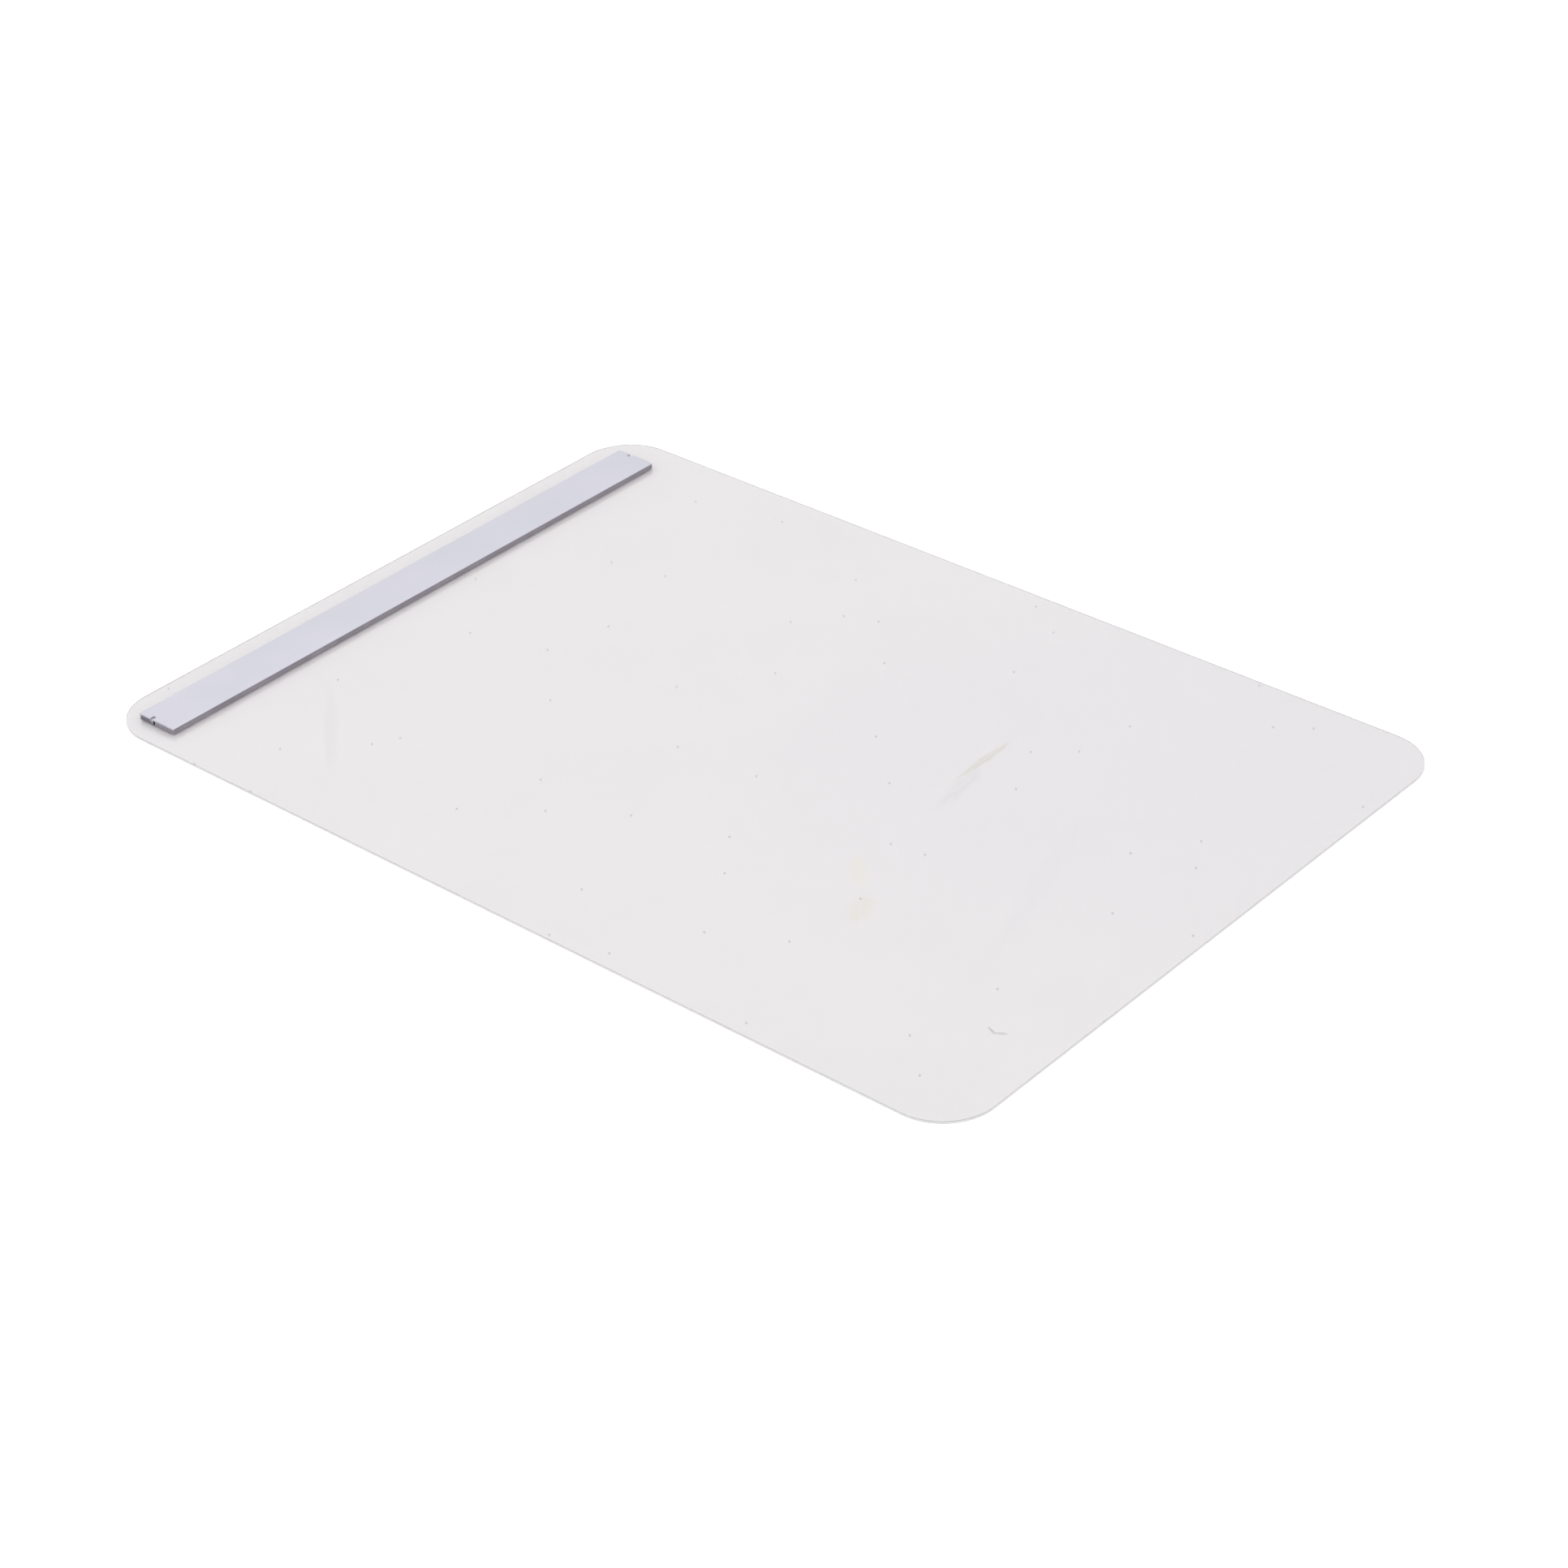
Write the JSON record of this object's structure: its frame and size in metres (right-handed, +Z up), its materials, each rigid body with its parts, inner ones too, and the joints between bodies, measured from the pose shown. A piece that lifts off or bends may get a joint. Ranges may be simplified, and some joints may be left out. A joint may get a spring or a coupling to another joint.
{
  "type": "clipboard",
  "caption": "Thin clear sheet with round corners and a very low full-width rocking jaw near one short edge: press the back of the jaw plate and its front lip lifts to take paper.",
  "frame": {"origin": "under the middle of the sheet, on the surface it lies on", "axes": "+Z up out of the sheet's upper face, +Y along the length of the sheet towards the clip end, +X across the sheet, parallel to the jaw"},
  "size_m": [0.229, 0.32, 0.0029],
  "materials": {
    "clear_sheet": "clear, glossy, faintly scuffed",
    "bonding_tape": "matte acrylic tape",
    "dark_rail": "dark satin coating",
    "bright_wire": "drawn wire",
    "dark_foam": "fine closed-cell foam, matte",
    "satin_plate": "fine satin, pale blue-grey",
    "dark_rubber": "matte, smooth moulded"
  },
  "bodies": {
    "base": {"board": "clear_sheet", "rail_tape": "bonding_tape", "base_rail": "dark_rail", "pivot_rod": "bright_wire", "spring_strip": "dark_foam"},
    "jaw": {"jaw_plate": "satin_plate", "grip_strip": "dark_rubber"}
  },
  "joints": [
    {"name": "jaw_pivot", "type": "hinge", "parent": "base", "child": "jaw", "pos_m": [-0.0024, 0.1459, 0.0018], "axis": [-1, 0, 0], "range_deg": [0, 10], "stiffness_Nm_per_rad": 0.25, "springref_deg": -8.59, "deforming": ["spring_strip"]}
  ]
}
